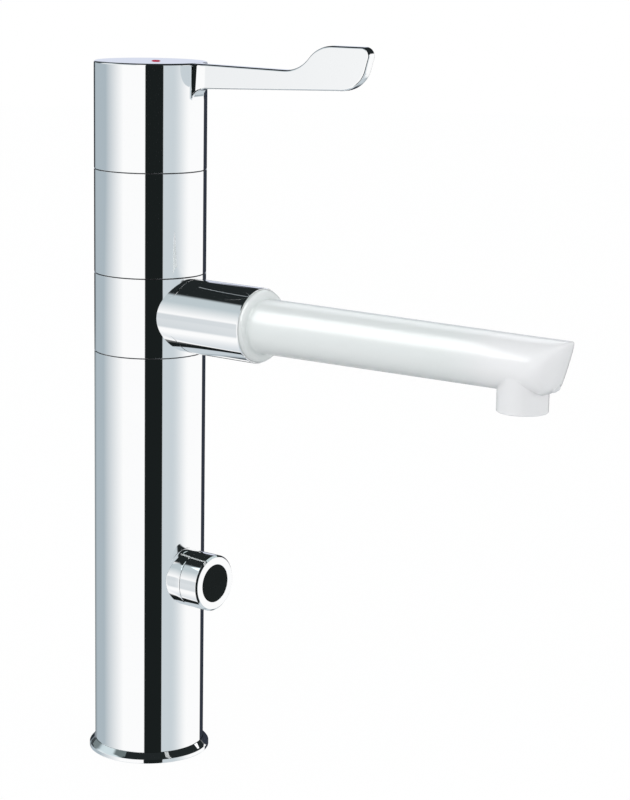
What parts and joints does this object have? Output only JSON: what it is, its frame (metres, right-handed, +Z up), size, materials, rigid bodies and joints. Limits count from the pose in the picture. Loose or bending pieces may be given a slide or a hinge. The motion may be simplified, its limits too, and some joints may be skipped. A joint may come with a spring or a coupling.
{
  "type": "sensor mixer tap",
  "caption": "Tall chrome column tap with a round infrared sensor, a swivelling white plug-in spout with a downward outlet, and a flat mixing lever on the cap.",
  "frame": {"origin": "on the column's axis at deck level, at the mouth of the fixing stud's thread", "axes": "+Z up the column, spout and sensor towards -Y, hot side -X, cold side +X"},
  "size_m": [0.0552, 0.2501, 0.3258],
  "materials": {
    "chrome": "polished chrome plate",
    "white_plastic": "natural white acetal, satin",
    "black_window": "glossy infrared window",
    "red_index": "glossy",
    "brass": "turned",
    "copper": "drawn copper tube",
    "rubber": "moulded",
    "steel": "bright stainless",
    "glide_plastic": "dark acetal",
    "grey_plastic": "moulded",
    "ceramic": "lapped alumina",
    "circuit": "lacquered board",
    "battery": "plain sleeve"
  },
  "bodies": {
    "column": {"armature_tube": "steel", "base_gasket": "rubber", "base_ring": "chrome", "batteries": "battery", "bracket_screw": "steel", "cap_glide_ring": "glide_plastic", "cartridge_base": "grey_plastic", "cartridge_body": "grey_plastic", "cartridge_housing": "brass", "cartridge_nut": "brass", "cartridge_seals": "rubber", "coil_nut": "brass", "cold_check_body": "grey_plastic", "cold_check_spring": "steel", "cold_riser": "copper", "cold_strainer": "steel", "control_module": "grey_plastic", "diaphragm": "rubber", "electronics_bracket": "grey_plastic", "fixed_disc": "ceramic", "hot_check_body": "grey_plastic", "hot_check_spring": "steel", "hot_riser": "copper", "hot_strainer": "steel", "infrared_diodes": "circuit", "inlet_manifold": "brass", "lower_column": "chrome", "lower_glide_ring": "glide_plastic", "plunger_spring": "steel", "sensor_bezel": "chrome", "sensor_board": "circuit", "sensor_lead": "rubber", "sensor_lens": "black_window", "sensor_nut": "brass", "sensor_sleeve": "chrome", "set_screws": "steel", "solenoid_body": "grey_plastic", "solenoid_coil": "grey_plastic", "solenoid_lead": "rubber", "solenoid_screws": "steel", "swivel_core": "brass", "swivel_seals": "rubber", "swivel_stop_pin": "steel", "upper_column": "chrome", "upper_glide_ring": "glide_plastic"},
    "lever": {"lever_cap": "chrome", "index_dot": "red_index", "lever_screw": "steel", "spline_adaptor": "grey_plastic", "cartridge_spindle": "grey_plastic", "moving_disc": "ceramic"},
    "collar": {"swivel_collar": "chrome", "swivel_bushes": "glide_plastic"},
    "spout": {"spout": "white_plastic", "spout_seals": "rubber", "spout_clip": "steel", "flow_straightener": "white_plastic"},
    "plunger": {"solenoid_plunger": "steel"},
    "hot_poppet": {"hot_check_poppet": "grey_plastic"},
    "cold_poppet": {"cold_check_poppet": "grey_plastic"}
  },
  "joints": [
    {"name": "lever_turn", "type": "hinge", "parent": "column", "child": "lever", "pos_m": [0, 0, 0.2688], "axis": [0, 0, 1], "range_deg": [-53.3, 36.7]},
    {"name": "spout_swivel", "type": "hinge", "parent": "column", "child": "collar", "pos_m": [0, 0, 0.2052], "axis": [0, 0, 1], "range_deg": [-70, 70]},
    {"name": "spout_release", "type": "slide", "parent": "collar", "child": "spout", "axis": [0, -1, 0], "range_m": [0, 0.04]},
    {"name": "plunger_pull", "type": "slide", "parent": "column", "child": "plunger", "axis": [0, 0, -1], "range_m": [0, 0.002], "stiffness_N_per_m": 300, "springref_m": -0.004, "deforming": ["plunger_spring"]},
    {"name": "hot_check_lift", "type": "slide", "parent": "column", "child": "hot_poppet", "axis": [0, 0, 1], "range_m": [0, 0.002], "stiffness_N_per_m": 100, "springref_m": -0.003, "deforming": ["hot_check_spring"]},
    {"name": "cold_check_lift", "type": "slide", "parent": "column", "child": "cold_poppet", "axis": [0, 0, 1], "range_m": [0, 0.002], "stiffness_N_per_m": 100, "springref_m": -0.003, "deforming": ["cold_check_spring"]}
  ]
}
